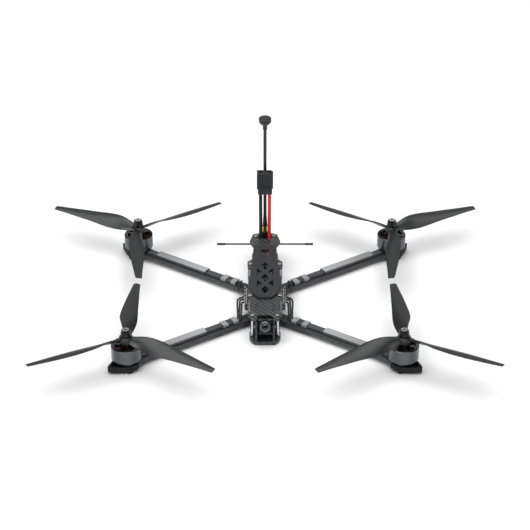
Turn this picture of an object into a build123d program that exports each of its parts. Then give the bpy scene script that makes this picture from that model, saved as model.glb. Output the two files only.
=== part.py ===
from build123d import *
import os
from math import atan, atan2, cos, degrees, hypot, pi, radians, sin

# Ten-inch quadcopter, millimetres.  +X to the right wing, -Y towards the nose, +Z up.
# The origin is on the underside of the bottom plate, in the middle of the four motors.

# ---------------------------------------------------------------- driving sizes
motor_half_x = 166.4  # motor axis to the middle, sideways
arm_root_y = 21.0  # where each pair of arms meets the centre line
propeller_diameter = 254.0
blade_tip_gap = 13.8  # between the front and rear propeller discs
propeller_pitch = 127.0

bottom_plate_thick = 4.0
arm_thick = 5.0
arm_width = 14.6
arm_pad_radius = 12.6
mid_plate_thick = 2.5
deck_gap = 26.5  # bottom plate to top plate
top_plate_thick = 2.5
pad_thick = 3.0

bell_radius = 18.5
bell_wall = 1.6
bell_height = 18.4
bell_lift = 4.6  # arm top to the bell's lower edge
magnet_thick = 1.5
magnet_count = 14
air_gap = 0.4
tooth_count = 12
shaft_radius = 2.5
bearing_radius = 5.0
bearing_width = 4.0
motor_screw_circle = 19.0

hub_radius = 8.25
hub_height = 8.0
hub_lift = 4.0  # bell top to the underside of the hub
nut_radius = 6.1
nut_height = 9.4

screw_radius = 1.5  # M3
screw_head_radius = 2.75
screw_head_height = 1.7
standoff_radius = 2.0
standoff_foot_radius = 2.7

stack_pitch = 30.5
esc_half_x = 25.6
esc_half_y = 28.5
board_thick = 1.6
esc_lift = 3.4  # mid plate to the speed controller board
board_gap = 6.0  # speed controller to flight controller

wire_diameter = 2.4
sleeve_wall = 0.45
cover_wall = 0.8

camera_half_width = 9.4
camera_height = 18.5
camera_depth = 13.0
camera_pivot_y = -76.0
camera_pivot_z = 20.8
camera_rest_tilt = 30.0
side_plate_thick = 2.0
lens_radius = 6.3
lens_reach = 14.0

lead_diameter = 4.5
lead_half_pitch = 5.75
lead_y = 123.5
connector_width = 21.0
connector_depth = 11.0
connector_height = 22.6
connector_cap_height = 8.6
connector_base_z = 98.3
contact_bore_radius = 2.25

antenna_y = 132.4
antenna_top_z = 202.5
antenna_cap_radius = 8.0
antenna_stem_radius = 2.1

clearance = 0.05  # screws and shafts in their holes
body_gap = 0.3  # between pieces on different bodies
edge_break = 0.35  # chamfer on the edges of milled plates

# ---------------------------------------------------------------- sizes that follow
motor_half_y = (propeller_diameter + blade_tip_gap) / 2  # motor axis to the middle, lengthways
wire_pitch = wire_diameter + 0.1
wires_width = 2 * wire_pitch + wire_diameter + 0.3
wires_height = wire_diameter + 0.3
sleeve_width = wires_width + 2 * sleeve_wall
sleeve_height = wires_height + 0.8
cover_width = sleeve_width + 2 * cover_wall + 0.6
cover_height = sleeve_height + cover_wall + 0.9
side_plate_inner = camera_half_width + body_gap
side_plate_outer = side_plate_inner + side_plate_thick
nose_standoff_x = side_plate_outer + standoff_foot_radius + 0.9

# ---------------------------------------------------------------- levels
arm_bottom = bottom_plate_thick
arm_top = arm_bottom + arm_thick
mid_top = arm_top + mid_plate_thick
top_bottom = bottom_plate_thick + deck_gap
top_top = top_bottom + top_plate_thick
pad_top = top_top + pad_thick
esc_bottom = mid_top + esc_lift
esc_top = esc_bottom + board_thick
fc_bottom = esc_top + board_gap
fc_top = fc_bottom + board_thick
bell_bottom = arm_top + bell_lift
bell_top = bell_bottom + bell_height
hub_bottom = bell_top + hub_lift
hub_top = hub_bottom + hub_height
nut_top = hub_top + nut_height

arm_length = hypot(motor_half_x, motor_half_y - arm_root_y)
arm_slope = degrees(atan2(motor_half_y - arm_root_y, motor_half_x))

corners = {
    "front_left": (-1, -1),
    "front_right": (1, -1),
    "rear_left": (-1, 1),
    "rear_right": (1, 1),
}
first_blade_angle = {"front_left": 87.1, "front_right": 92.9, "rear_left": 33.4, "rear_right": 146.6}
turns_anticlockwise = {"front_left": True, "front_right": False, "rear_left": False, "rear_right": True}


# ---------------------------------------------------------------- small helpers
def rod(radius, z_low, z_high, x=0.0, y=0.0):
    """Upright cylinder from z_low to z_high."""
    return Pos(x, y, (z_low + z_high) / 2) * Cylinder(radius, z_high - z_low)


def tube(outer, inner, z_low, z_high, x=0.0, y=0.0):
    """Upright ring from z_low to z_high."""
    return rod(outer, z_low, z_high, x, y) - rod(inner, z_low - 1, z_high + 1, x, y)


def block(x_low, x_high, y_low, y_high, z_low, z_high):
    """Box between two corners."""
    middle = ((x_low + x_high) / 2, (y_low + y_high) / 2, (z_low + z_high) / 2)
    return Pos(*middle) * Box(x_high - x_low, y_high - y_low, z_high - z_low)


def slab(points, z_low, z_high):
    """Plate with a polygon outline."""
    return Pos(0, 0, z_low) * extrude(make_face(Polyline(*points, close=True)), z_high - z_low)


def mirrored_outline(right_side):
    """Closed outline from the points of its right-hand side, rear to front."""
    return right_side + [(-x, y) for x, y in reversed(right_side)]


def broken_edges(plate, size=edge_break):
    """The plate with its top and bottom outlines chamfered."""
    levels = plate.edges().group_by(Axis.Z)
    return chamfer(levels[0] + levels[-1], size)


def in_both(part):
    """The part and its mirror image across the YZ plane."""
    return [part, mirror(part, about=Plane.YZ)]


def save(node, solids):
    """Writes one node, whose pieces are separate solids."""
    pieces = solids if isinstance(solids, list) else [solids]
    flat = [solid for piece in pieces for solid in piece.solids()]
    export_step(Compound(label=node, children=flat), "parts/" + node + ".step")


def motor_place(corner):
    """The place of a motor: local +X points outwards along its arm."""
    side, end = corners[corner]
    outward = degrees(atan2(end * (motor_half_y - arm_root_y), side * motor_half_x))
    return Pos(side * motor_half_x, end * motor_half_y, 0) * Rot(0, 0, outward)


def along_arm(corner, distance, offset=0.0):
    """A point on an arm: distance from the arm's root, offset towards the nose or tail side."""
    side, end = corners[corner]
    direction = (side * cos(radians(arm_slope)), end * sin(radians(arm_slope)))
    across = (side * sin(radians(arm_slope)), -end * cos(radians(arm_slope)))
    if across[1] > 0:
        across = (-across[0], -across[1])
    return (
        distance * direction[0] + offset * across[0],
        end * arm_root_y + distance * direction[1] + offset * across[1],
    )


def arm_place(corner):
    """Frame at the arm's root: local +X runs outwards along the arm."""
    side, end = corners[corner]
    outward = degrees(atan2(end * (motor_half_y - arm_root_y), side * motor_half_x))
    return Pos(0, end * arm_root_y, 0) * Rot(0, 0, outward)


# ---------------------------------------------------------------- screw places
arm_bolt_x = [7.0, 15.0]
arm_bolt_places = [
    (side * x, end * (arm_root_y + x * (motor_half_y - arm_root_y) / motor_half_x))
    for side, end in corners.values()
    for x in arm_bolt_x
]
long_standoff_places = [(11.5, 126.0), (18.4, 53.7), (nose_standoff_x, -70.0)]
short_standoff_places = [(18.3, -23.0)]
sunk_head_depth = 1.7
stack_places = [
    (x * stack_pitch / 2, y * stack_pitch / 2) for x in (-1, 1) for y in (-1, 1)
]


def both_sides(places):
    """The places and their mirror images."""
    return [(side * x, y) for x, y in places for side in (-1, 1)]


def drilled(plate, places, radius, z_low, z_high):
    """The plate with a through hole at each place."""
    for x, y in places:
        plate = plate - rod(radius, z_low - 1, z_high + 1, x, y)
    return plate


# ---------------------------------------------------------------- carbon plates
screw_hole = screw_radius + 0.1
bumper_half = nose_standoff_x + 3.9
bumper_front = -85.4
side_tab_y = (camera_pivot_y - 8.0, camera_pivot_y)  # the camera side plates' lower tabs


def side_tab_slots(z_low, z_high):
    """Slots that take the tabs of the camera side plates."""
    slot = block(side_plate_inner, side_plate_outer, *side_tab_y, z_low - 1, z_high + 1)
    return in_both(slot)


def bottom_plate():
    corner_x = side_plate_outer
    right = [(14.0, 134.0), (17.0, 130.5), (17.0, 118.0), (14.0, 106.0), (14.0, 66.0), (21.5, 59.0)]
    right += [(21.5, 48.0), (18.5, 44.0), (18.5, -50.0), (16.5, -56.0), (bumper_half, -63.0), (bumper_half, -71.0)]
    plate = slab(mirrored_outline(right + [(corner_x, -80.0)]), 0, bottom_plate_thick)
    bow = RadiusArc((bumper_half, -71.0), (corner_x, bumper_front), 17.0)
    nose = make_face(
        [
            bow,
            Line((corner_x, bumper_front), (-corner_x, bumper_front)),
            mirror(bow, about=Plane.YZ),
            Line((-bumper_half, -71.0), (bumper_half, -71.0)),
        ]
    )
    plate = plate + extrude(nose, bottom_plate_thick)
    for slot in side_tab_slots(0, bottom_plate_thick):
        plate = plate - slot
    lightening = SlotCenterToCenter(30, 9, rotation=90)
    plate = plate - Pos(0, 88, 0) * extrude(lightening, bottom_plate_thick)
    holes = arm_bolt_places + both_sides(long_standoff_places) + stack_places
    plate = drilled(plate, holes, screw_hole, 0, bottom_plate_thick)
    plate = broken_edges(plate)
    for x, y in both_sides(long_standoff_places) + stack_places:
        plate = plate - rod(screw_head_radius + 0.1, -1, sunk_head_depth + clearance, x, y)
    return plate


def mid_plate():
    ear_x = short_standoff_places[0][0] + 2.9
    right = [(12.0, 43.0), (18.5, 38.0), (18.5, -17.0), (ear_x, -20.5), (ear_x, -25.5), (18.5, -29.0)]
    right += [(18.5, -38.0), (12.0, -43.0)]
    plate = slab(mirrored_outline(right), arm_top, mid_top)
    holes = arm_bolt_places + stack_places + both_sides(short_standoff_places)
    plate = drilled(plate, holes, screw_hole, arm_top, mid_top)
    return broken_edges(plate)


recess_half = side_plate_inner + 0.1
recess_back = -68.3
recess_corner = 5.0
recess_reach = 20.0
plate_front = -80.0
strap_slot_x = 19.0
strap_slot_y = 34.0
strap_slot_length = 20.0
strap_slot_width = 3.0
diamond_places = [45.0, 15.9, -13.3]
diamond_half = (4.9, 9.3)
triangle_places = [30.6, 2.0]
triangle_reach = (4.2, 10.0, 8.2)  # tip, base and half height
pad_window_y = (69.0, 87.0)
vent_x = 10.5
vent_y = [-43.4, -49.4, -55.4]
vent_size = (4.4, 1.5)
vent_slant = 18.0
pad_window_half = 4.7
window_gap = 0.4
lead_window_half = lead_half_pitch + lead_diameter / 2 + window_gap
lead_window_front = lead_y - 4.1


def lattice(z_low, z_high):
    """The diamond and triangle windows down the middle of the battery deck."""
    cutters = []
    for y in diamond_places:
        half_x, half_y = diamond_half
        outline = [(0, y + half_y), (half_x, y), (0, y - half_y), (-half_x, y)]
        cutters.append(slab(outline, z_low, z_high))
    tip, base, half = triangle_reach
    for y in triangle_places:
        right = slab([(tip, y), (base, y + half), (base, y - half)], z_low, z_high)
        cutters += in_both(right)
    return cutters


def top_plate():
    right = [(9.0, 134.5), (16.0, 131.5), (20.0, 113.0), (18.0, 104.5), (14.8, 98.0), (14.8, 68.0)]
    right += [(22.4, 60.5), (22.4, 50.0), (21.7, 46.0), (21.7, 22.0), (21.2, 16.0), (21.2, -31.5)]
    ear_x = nose_standoff_x + 6.1
    right += [(17.4, -36.5), (17.4, -58.5), (ear_x, -62.8), (ear_x, -69.0), (nose_standoff_x + 0.5, plate_front)]
    plate = slab(mirrored_outline(right), top_bottom, top_top)
    opening = RectangleRounded(2 * recess_half, 2 * recess_reach, recess_corner)
    plate = plate - Pos(0, recess_back - recess_reach, top_bottom) * extrude(opening, top_plate_thick)
    for x in (-strap_slot_x, strap_slot_x):
        slot = SlotOverall(strap_slot_length, strap_slot_width, rotation=90)
        plate = plate - Pos(x, strap_slot_y, top_bottom) * extrude(slot, top_plate_thick)
    for cutter in lattice(top_bottom, top_top):
        plate = plate - cutter
    window = block(-lead_window_half, lead_window_half, lead_window_front, 140, top_bottom - 1, top_top + 1)
    plate = plate - window
    plate = plate - block(-pad_window_half, pad_window_half, *pad_window_y, top_bottom - 1, top_top + 1)
    for side in (-1, 1):
        vent = extrude(SlotOverall(*vent_size, rotation=-vent_slant * side), top_plate_thick)
        for y in vent_y:
            plate = plate - Pos(side * vent_x, y, top_bottom) * vent
    plate = drilled(plate, both_sides(long_standoff_places + short_standoff_places), screw_hole, top_bottom, top_top)
    plate = drilled(plate, both_sides([(accessory_half, accessory_y)]), accessory_radius, top_bottom, top_top)
    oval = Pos(0, accessory_y, top_bottom) * extrude(SlotOverall(4.6, 2.6), top_plate_thick)
    return broken_edges(plate - oval)


accessory_half = 5.0
accessory_y = 110.5
accessory_radius = 1.1


def battery_pad():
    right = [(14.9, 97.0), (15.9, 60.0), (19.8, -1.0), (15.4, -21.4), (8.0, -31.6)]
    pad = slab(mirrored_outline(right), top_top, pad_top)
    for cutter in lattice(top_top, pad_top):
        pad = pad - cutter
    pad = pad - block(-pad_window_half, pad_window_half, *pad_window_y, top_top - 1, pad_top + 1)
    # reliefs round the screw heads that stand beside the pad
    for x, y in both_sides(long_standoff_places + short_standoff_places):
        pad = pad - rod(screw_head_radius + body_gap, top_top - 1, pad_top + 1, x, y)
    top_edges = pad.edges().group_by(Axis.Z)[-1]
    return chamfer(top_edges, edge_break)


def arm(corner):
    """Flat carbon arm with a round motor pad, mitred on the centre line."""
    side, end = corners[corner]
    half = arm_width / 2
    bar = block(-10, arm_length, -half, half, arm_bottom, arm_top)
    pad = rod(arm_pad_radius, arm_bottom, arm_top, arm_length)
    shoulder_start = arm_length - 2 * arm_pad_radius - 0.8
    corners_of_shoulder = [(arm_length, arm_pad_radius), (arm_length, -arm_pad_radius)]
    corners_of_shoulder += [(shoulder_start, -half), (shoulder_start, half)]
    shoulder = slab(corners_of_shoulder, arm_bottom, arm_top)
    body = arm_place(corner) * (bar + shoulder + pad)
    mitre = 0.1
    keep = block(mitre, 400, -400, 400, -50, 50) if side > 0 else block(-400, -mitre, -400, 400, -50, 50)
    body = body & keep
    holes = [(x, y) for x, y in arm_bolt_places if x * side > 0 and y * end > 0]
    body = drilled(body, holes, screw_hole, arm_bottom, arm_top)
    body = body - motor_place(corner) * rod(bearing_radius + 0.6, arm_bottom - 1, arm_top + 1)
    for x, y in motor_screw_places:
        body = body - motor_place(corner) * rod(screw_hole, arm_bottom - 1, arm_top + 1, x, y)
    return broken_edges(body)


motor_screw_places = [
    (motor_screw_circle / 2 * cos(radians(angle)), motor_screw_circle / 2 * sin(radians(angle)))
    for angle in (45, 135, 225, 315)
]

guard_top = arm_top
guard_floor = arm_bottom - 2.0
guard_foot = -1.0
guard_wall = 2.4
guard_nose = 27.0
guard_foot_place = (3.0, 11.4)
guard_foot_radius = 4.2


def arm_end_guard(corner):
    """Soft cup round the arm's end: a pointed nose, two foot lugs and a floor under the pad."""
    nose = guard_nose
    side = [(nose - 1.6, 1.9), (14.4, 9.6), (7.0, 13.6), (-1.0, 15.3), (-9.0, 14.0), (-9.0, arm_width / 2 + 0.4)]
    outline = [(nose, 0.0)] + side + [(x, -y) for x, y in reversed(side)]
    skin = slab(outline, guard_floor, guard_top)
    vertical = skin.edges().filter_by(Axis.Z).filter_by(lambda edge: edge.center().X > 5)
    skin = fillet(vertical, 1.5)
    inner_side = [(13.0, 7.2), (6.0, 11.9), (-1.0, 12.8), (-10.0, 11.6)]
    inner = [(nose - guard_wall - 1.2, 0.0)] + inner_side + [(x, -y) for x, y in reversed(inner_side)]
    hollow = slab(inner, arm_bottom, guard_top + 1)
    foot = extrude(RegularPolygon(guard_foot_radius, 6), arm_bottom - guard_foot)
    foot = chamfer(foot.edges().group_by(Axis.Z)[0], 0.6)
    lugs = [Pos(guard_foot_place[0], y * guard_foot_place[1], guard_foot) * foot for y in (-1, 1)]
    guard = skin + lugs[0] + lugs[1] - hollow
    guard = guard - rod(arm_pad_radius + clearance, arm_bottom, guard_top + 1)
    guard = guard - rod(bearing_radius + 1, guard_foot - 1, arm_bottom + 1)
    for x, y in motor_screw_places:
        guard = guard - rod(screw_head_radius + 0.4, guard_foot - 1, arm_bottom + 1, x, y)
    return motor_place(corner) * guard


# ---------------------------------------------------------------- motors
base_thick = 2.6
base_radius = 13.2
stator_inner = 6.0
stator_outer = bell_radius - bell_wall - magnet_thick - air_gap
stator_low = bell_bottom + 2.4
stator_high = bell_top - 5.0
shaft_bottom = arm_top + 1.6
shaft_top = nut_top - 2.2


def motor_base():
    """Fixed plate with spokes, and the tube that holds both bearings."""
    plate = rod(base_radius, arm_top, arm_top + base_thick)
    for angle in (0, 90, 180, 270):
        window = rod(2.3, arm_top - 1, arm_top + base_thick + 1, base_radius * 0.72)
        plate = plate - Rot(0, 0, angle) * window
    top_circles = plate.edges().group_by(Axis.Z)[-1].filter_by(GeomType.CIRCLE)
    plate = chamfer(top_circles.sort_by(SortBy.RADIUS)[-1:], 0.6)
    for x, y in motor_screw_places:
        plate = plate - rod(screw_radius + clearance, arm_top - 1, arm_top + base_thick + 1, x, y)
    carrier = rod(stator_inner - clearance, arm_top, stator_high + 0.6)
    base = plate + carrier
    seat = bearing_radius + clearance
    base = base - rod(shaft_radius + 0.8, arm_top - 1, stator_high + 2)
    base = base - rod(seat, arm_top + 0.8, arm_top + 0.8 + bearing_width)
    return base - rod(seat, stator_high + 0.6 - bearing_width, stator_high + 2)


def motor_bearings():
    """Lower and upper ball bearing, each as one ring."""
    low = tube(bearing_radius, shaft_radius + 0.03, arm_top + 0.8, arm_top + 0.8 + bearing_width)
    high = tube(bearing_radius, shaft_radius + 0.03, stator_high + 0.6 - bearing_width, stator_high + 0.6)
    return [low, high]


def stator_core():
    """Lamination stack: a yoke with radial teeth that widen at the air gap."""
    core = tube(stator_inner + 1.6, stator_inner, stator_low, stator_high)
    shoe_inner = stator_outer - 1.3
    shoes = tube(stator_outer, shoe_inner, stator_low, stator_high)
    step = 360 / tooth_count
    for index in range(tooth_count):
        slot = block(shoe_inner - 1, stator_outer + 1, -0.7, 0.7, stator_low - 1, stator_high + 1)
        shoes = shoes - Rot(0, 0, step * (index + 0.5)) * slot
    for index in range(tooth_count):
        tooth = block(stator_inner + 1.2, shoe_inner + 0.5, -1.1, 1.1, stator_low, stator_high)
        core = core + Rot(0, 0, step * index) * tooth
    return core + shoes


def stator_coils():
    """One wound coil on each tooth, wedge-shaped so that neighbours stay apart."""
    inner, outer = stator_inner + 1.8, stator_outer - 2.2
    rise = 1.6
    half_inner, half_outer = inner * 0.235, outer * 0.235
    outline = [(inner, -half_inner), (outer, -half_outer), (outer, half_outer), (inner, half_inner)]
    coil = slab(outline, stator_low - rise, stator_high + rise)
    level_edges = coil.edges().filter_by(Axis.Z, reverse=True)
    coil = fillet(level_edges.filter_by(lambda edge: abs(edge.center().Y) > 0.5), 0.6)
    coil = coil - block(inner - 1, outer + 1, -1.15, 1.15, stator_low - clearance, stator_high + clearance)
    return [Rot(0, 0, 360 / tooth_count * index) * coil for index in range(tooth_count)]


def bell():
    """Rotor bell: flux ring, six spokes and a central boss pressed on the shaft."""
    ring = tube(bell_radius, bell_radius - bell_wall, bell_bottom, bell_top)
    circles = ring.edges().filter_by(GeomType.CIRCLE)
    outer_circles = circles.filter_by(lambda edge: edge.radius > bell_radius - 0.1)
    ring = chamfer(outer_circles.sort_by(Axis.Z)[:1], 1.2)
    upper_circles = ring.edges().filter_by(GeomType.CIRCLE).sort_by(Axis.Z)[-2:]
    ring = chamfer(upper_circles.sort_by(SortBy.RADIUS)[-1:], 0.5)
    lip = tube(bell_radius - bell_wall + 0.4, bell_radius - 4.2, bell_top - 2.0, bell_top - 0.3)
    boss = rod(7.2, bell_top - 2.6, hub_bottom)
    body = ring + lip + boss
    for index in range(6):
        spoke = block(6.0, bell_radius - 3.6, -1.5, 1.5, bell_top - 2.4, bell_top - 0.4)
        body = body + Rot(0, 0, 60 * index + 15) * spoke
    return body - rod(shaft_radius, bell_bottom, hub_bottom + 1)


def magnets():
    """Curved magnets glued inside the flux ring, evenly spaced."""
    outer = bell_radius - bell_wall
    low, high = bell_bottom + 1.2, bell_top - 3.4
    ring = tube(outer, outer - magnet_thick, low, high)
    half_angle = radians(180 / magnet_count - 2.2)
    reach = outer + 4
    half_width = reach * sin(half_angle) / cos(half_angle)
    tile = ring & slab([(0, 0), (reach, -half_width), (reach, half_width)], low, high)
    return [Rot(0, 0, 360 / magnet_count * index) * tile for index in range(magnet_count)]


def shaft():
    body = rod(shaft_radius, shaft_bottom, shaft_top)
    body = body - rod(1.25, shaft_top - 3, shaft_top + 1)
    return chamfer(body.edges().group_by(Axis.Z)[-1].sort_by(SortBy.RADIUS)[-1:], 0.3)


# ---------------------------------------------------------------- propellers
# radius, chord, how far the blade's middle lies ahead of the radial line, thickness
blade_stations = [
    (6.0, 10.6, 0.4, 3.4),
    (14.0, 13.7, 0.8, 3.1),
    (25.0, 18.8, 1.6, 2.7),
    (36.0, 22.2, 1.9, 2.4),
    (46.0, 22.7, 2.0, 2.2),
    (62.0, 20.4, 2.0, 1.9),
    (80.0, 17.2, 1.8, 1.6),
    (100.0, 13.4, 1.2, 1.35),
    (114.0, 10.6, 0.7, 1.15),
    (124.0, 8.8, 0.2, 1.0),
    (127.0, 7.9, 0.0, 0.9),
]
blade_camber = 0.045
steepest_blade_angle = 42.0


def blade_section(radius, chord, ahead, thick):
    """Cambered aerofoil, its chord turned to the pitch angle at this radius."""
    turn = min(atan(propeller_pitch / (2 * pi * radius)), radians(steepest_blade_angle))
    middle_z = (hub_bottom + hub_top) / 2
    plane = Plane(origin=(radius, 0, middle_z), x_dir=(0, cos(turn), sin(turn)), z_dir=(1, 0, 0))
    lead, trail = ahead + chord / 2, ahead - chord / 2
    camber = blade_camber * chord
    blunt = 0.18 * thick

    def height(share, side):
        """Surface height at a share of the chord from the trailing edge."""
        mean = 4 * camber * share * (1 - share)
        half = thick / 2 * (4 * share * (1 - share)) ** 0.6
        return mean + side * max(half, blunt)

    shares = (0.0, 0.2, 0.45, 0.7, 0.9)
    upper = [(trail + s * chord, height(s, 1)) for s in shares] + [(lead, 0.0)]
    lower = [(lead, 0.0)] + [(trail + s * chord, height(s, -1)) for s in reversed(shares)]
    outline = Spline(*upper) + Spline(*lower) + Line(lower[-1], upper[0])
    return plane * make_face(outline)


def propeller_anticlockwise():
    """Three twisted blades on a round hub; the first blade lies along +X."""
    scale = propeller_diameter / 2 / blade_stations[-1][0]
    sections = [blade_section(r * scale if r > 6 else r, c, a, t) for r, c, a, t in blade_stations]
    blade = loft(sections)
    hub = rod(hub_radius, hub_bottom, hub_top)
    hub = chamfer(hub.edges().group_by(Axis.Z)[-1], 1.2)
    body = hub
    for index in range(3):
        body = body + Rot(0, 0, 120 * index) * blade
    return body - rod(shaft_radius + clearance, hub_bottom - 6, hub_top + 6)


nut_insert_radius = 4.1
nut_crown = 0.7  # black rim left round the insert
nut_skirt = 4.4  # height of the nut's straight lower part


def prop_nut():
    """Tapered round lock nut with a bright insert ring in its top."""
    crown = nut_insert_radius + nut_crown
    pocket_floor = nut_top - 1.4
    outline = [(0, hub_top), (nut_radius - 0.3, hub_top), (nut_radius, hub_top + 0.3)]
    outline += [(nut_radius, hub_top + nut_skirt), (crown + 0.4, nut_top - 1.0)]
    outline += [(crown, nut_top - 0.3), (0, nut_top - 0.3)]
    body = revolve(Plane.XZ * make_face(Polyline(*outline, close=True)), Axis.Z)
    body = body - rod(shaft_radius + clearance, hub_top - 1, nut_top + 1)
    body = body - rod(nut_insert_radius, pocket_floor, nut_top + 1)
    insert = tube(nut_insert_radius, 1.4, pocket_floor, nut_top)
    return [body, insert]


# ---------------------------------------------------------------- fasteners
def button_screw(x, y, seat, length, up=True):
    """Button-head screw: the head stands on the seat, the shank runs away from it."""
    head = rod(screw_head_radius, 0, screw_head_height)
    head = fillet(head.edges().group_by(Axis.Z)[-1], 0.8)
    socket = Pos(0, 0, screw_head_height - 1.0) * extrude(RegularPolygon(1.15, 6), 2)
    screw = head - socket + rod(screw_radius, -length, 0.1)
    flip = 0 if up else 180
    return Pos(x, y, seat) * Rot(flip, 0, 0) * screw


def sunk_screw(x, y, high):
    """Flat-head screw, its head let into the underside of the bottom plate."""
    head = rod(screw_head_radius, 0.1, sunk_head_depth, x, y)
    socket = Pos(x, y, 0) * extrude(RegularPolygon(1.15, 6), 1.1)
    return head + rod(screw_radius, sunk_head_depth - 0.1, high, x, y) - socket


def standoffs():
    """Round aluminium pillars, threaded at both ends, with a wider foot."""
    pieces = []
    for places, low in ((long_standoff_places, bottom_plate_thick), (short_standoff_places, mid_top)):
        for x, y in both_sides(places):
            pillar = rod(standoff_radius, low, top_bottom, x, y)
            foot = rod(standoff_foot_radius, low, low + 2.6, x, y)
            bore = rod(screw_radius + clearance, low - 1, low + 9, x, y)
            top_bore = rod(screw_radius + clearance, top_bottom - 9, top_bottom + 1, x, y)
            pieces.append(pillar + foot - bore - top_bore)
    return pieces


def frame_screws():
    """Deck screws, belly screws and the bolts that clamp the arms."""
    pieces = []
    for x, y in both_sides(long_standoff_places + short_standoff_places):
        pieces.append(button_screw(x, y, top_top, 8.0))
    for x, y in both_sides(long_standoff_places):
        pieces.append(sunk_screw(x, y, bottom_plate_thick + 7))
    for x, y in both_sides(short_standoff_places):
        pieces.append(rod(screw_radius, arm_top + 0.2, mid_top + 7, x, y))
    for x, y in arm_bolt_places:
        pieces.append(button_screw(x, y, mid_top, mid_top))
    return pieces


def motor_screws():
    """Four screws for each motor, up through the arm into the base."""
    pieces = []
    for corner in corners:
        for x, y in motor_screw_places:
            pieces.append(motor_place(corner) * button_screw(x, y, arm_bottom, arm_thick + 2.2, up=False))
    return pieces


# ---------------------------------------------------------------- electronics
esc_hole_places = [(x * 22.3, y) for x in (-1, 1) for y in (-20.8, 25.4)]
pad_places = [23.0, 15.6, 8.2, -1.5, -7.6, -13.6]


def esc_board():
    """Four-in-one speed controller: board, bus bars, heat spreader, solder pads and transistors."""
    board = block(-esc_half_x, esc_half_x, -esc_half_y, esc_half_y, esc_bottom, esc_top)
    board = fillet(board.edges().filter_by(Axis.Z), 2.0)
    board = drilled(board, stack_places, 2.1, esc_bottom, esc_top)
    board = drilled(board, esc_hole_places, 1.5, esc_bottom, esc_top)
    board = drilled(board, both_sides(short_standoff_places), standoff_radius + 0.3, esc_bottom, esc_top)
    pieces = [board]
    for x in (-23.3, 23.3):
        pieces.append(block(x - 0.75, x + 0.75, -18.5, 20.5, esc_top, esc_top + 1.0))
    right = [(11.0, 9.0), (11.0, -11.0), (17.6, -11.0), (21.4, -14.5)]
    right += [(21.4, -36.5), (17.4, -36.5), (17.4, -27.5), (11.0, -27.5)]
    heat = slab(mirrored_outline(right), esc_top + 1.4, esc_top + 3.0)
    heat = drilled(heat, stack_places, 2.9, esc_top, esc_top + 4)
    heat = drilled(heat, both_sides(short_standoff_places), standoff_radius + 0.3, esc_top, esc_top + 4)
    pieces.append(heat)
    for y in pad_places:
        for side in (-1, 1):
            bead = rod(0.75, esc_top, esc_top + 1.2, side * (esc_half_x - 0.8), y)
            pieces.append(fillet(bead.edges().group_by(Axis.Z)[-1], 0.4))
    for x in (-20.3, 20.3):
        for y in (10.0, 3.0, -4.0):
            pieces.append(block(x - 1.8, x + 1.8, y - 2.6, y + 2.6, esc_top, esc_top + 1.1))
    return pieces


def flight_controller():
    """Small square board with its processor, plugs and sockets."""
    half = 18.0
    board = block(-half, half, -half, half, fc_bottom, fc_top)
    board = fillet(board.edges().filter_by(Axis.Z), 2.5)
    board = drilled(board, stack_places, 2.0, fc_bottom, fc_top)
    pieces = [board, block(-4, 4, -4, 4, fc_top, fc_top + 1.2), block(-12, -8, -6, 6, fc_top, fc_top + 1.6)]
    pieces += [block(8.5, 11.5, 3, 8, fc_top, fc_top + 1.0), block(-4, 4, 13, 17, fc_top, fc_top + 1.8)]
    return pieces


def stack_mounts():
    """Bolts with their nuts and soft grommets that carry both boards."""
    pieces = []
    bolt_end = top_bottom - 1.0
    for x, y in stack_places:
        pieces.append(sunk_screw(x, y, bolt_end))
        pieces.append(tube(2.6, screw_radius + clearance, mid_top, esc_bottom, x, y))
        pieces.append(tube(2.6, screw_radius + clearance, esc_top, fc_bottom, x, y))
        pieces.append(tube(2.8, screw_radius + clearance, fc_top, fc_top + 1.8, x, y))
    return pieces


vtx_y = (60.0, 92.0)
vtx_half = 11.5
vtx_low = bottom_plate_thick


def video_transmitter():
    """Finned aluminium box on the bottom plate, behind the boards."""
    box = block(-vtx_half, vtx_half, *vtx_y, vtx_low, vtx_low + 10)
    box = fillet(box.edges().filter_by(Axis.Z), 1.5)
    for index in range(6):
        y = vtx_y[0] + 5.0 + index * 4.8
        box = box - block(-vtx_half - 1, vtx_half + 1, y - 0.9, y + 0.9, vtx_low + 7, vtx_low + 11)
    return box


def receiver():
    """Control receiver board with its shield can, on foam on the bottom plate behind the camera."""
    low = bottom_plate_thick
    board = block(-7, 7, -62, -46, low + 0.6, low + 1.8)
    can = block(-5, 5, -60, -50, low + 1.8, low + 3.6)
    foam = block(-6.5, 6.5, -61.5, -46.5, low, low + 0.6)
    return [board, can, foam]


def capacitor():
    """Electrolytic capacitor lying across the frame, with its two legs."""
    low = bottom_plate_thick
    can = Pos(0, 53.0, low + 5.2) * Rot(0, 90, 0) * Cylinder(5.0, 20.0)
    can = fillet(can.edges(), 0.7)
    legs = [Pos(11.4, 53.0 + side * 1.8, low + 5.2) * Rot(0, 90, 0) * Cylinder(0.4, 2.8) for side in (-1, 1)]
    return [can] + legs


# ---------------------------------------------------------------- camera
def camera_frame():
    """Camera axes at rest: local -Y looks out of the lens, tilted up about the pivot."""
    return Pos(0, camera_pivot_y, camera_pivot_z) * Rot(-camera_rest_tilt, 0, 0)


side_plate_front = camera_pivot_y - 10.0
side_plate_back = camera_pivot_y + 12.0
tab_depth = 4.9


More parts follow.
